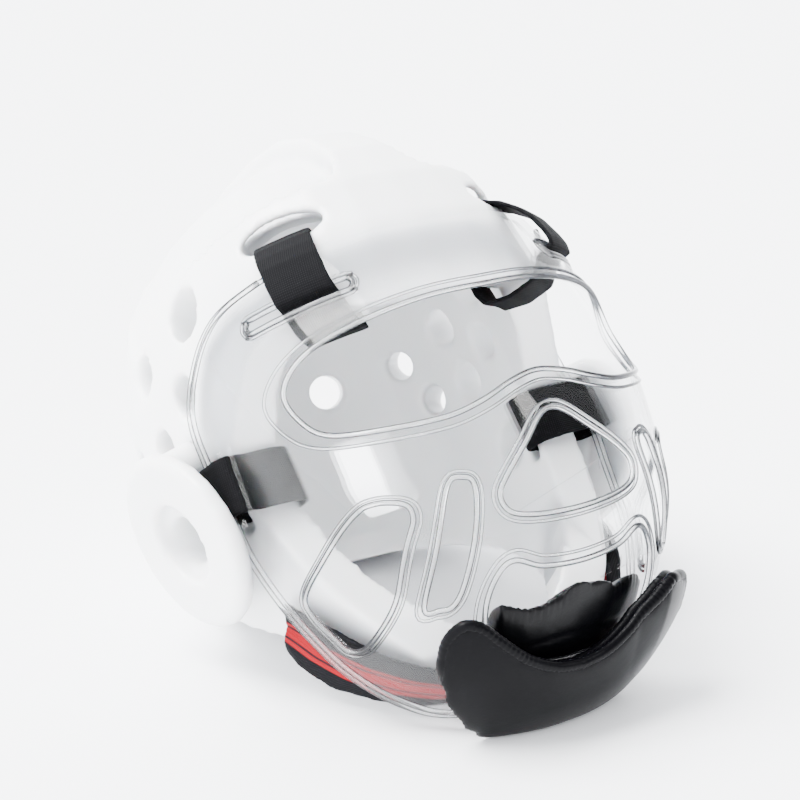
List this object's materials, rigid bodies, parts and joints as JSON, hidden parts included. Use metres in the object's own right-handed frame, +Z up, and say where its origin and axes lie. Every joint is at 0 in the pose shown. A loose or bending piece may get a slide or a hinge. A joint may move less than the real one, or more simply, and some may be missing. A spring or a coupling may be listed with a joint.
{
  "type": "martial arts headgear",
  "caption": "White foam sparring headgear with a clear face shield, ear guards, black straps, a striped elastic chin strap and a black chin guard, resting on nape and chin guard.",
  "frame": {"origin": "on the table, under the middle of the headgear's bounding box", "axes": "+Z up from the table, -Y towards the face shield's side, +X the wearer's left; the head's own upright axis leans 38 degrees back from +Z"},
  "size_m": [0.2592, 0.3132, 0.2317],
  "materials": {
    "foam_white": "smooth satin dipped foam skin",
    "shield_clear": "clear gloss polycarbonate",
    "strap_webbing": "fine woven black webbing",
    "guard_black": "smooth semi gloss skin",
    "pad_black": "soft pleated cover",
    "elastic_striped": "woven elastic, black with dark red stripes"
  },
  "bodies": {
    "root": {"helmet_shell": "foam_white", "face_shield": "shield_clear", "ear_guard_left": "foam_white", "ear_guard_right": "foam_white", "forehead_strap_left": "strap_webbing", "forehead_strap_right": "strap_webbing", "cheek_strap_left": "strap_webbing", "cheek_strap_right": "strap_webbing", "chin_guard": "guard_black", "chin_pad": "pad_black", "chin_strap": "elastic_striped"}
  },
  "joints": []
}
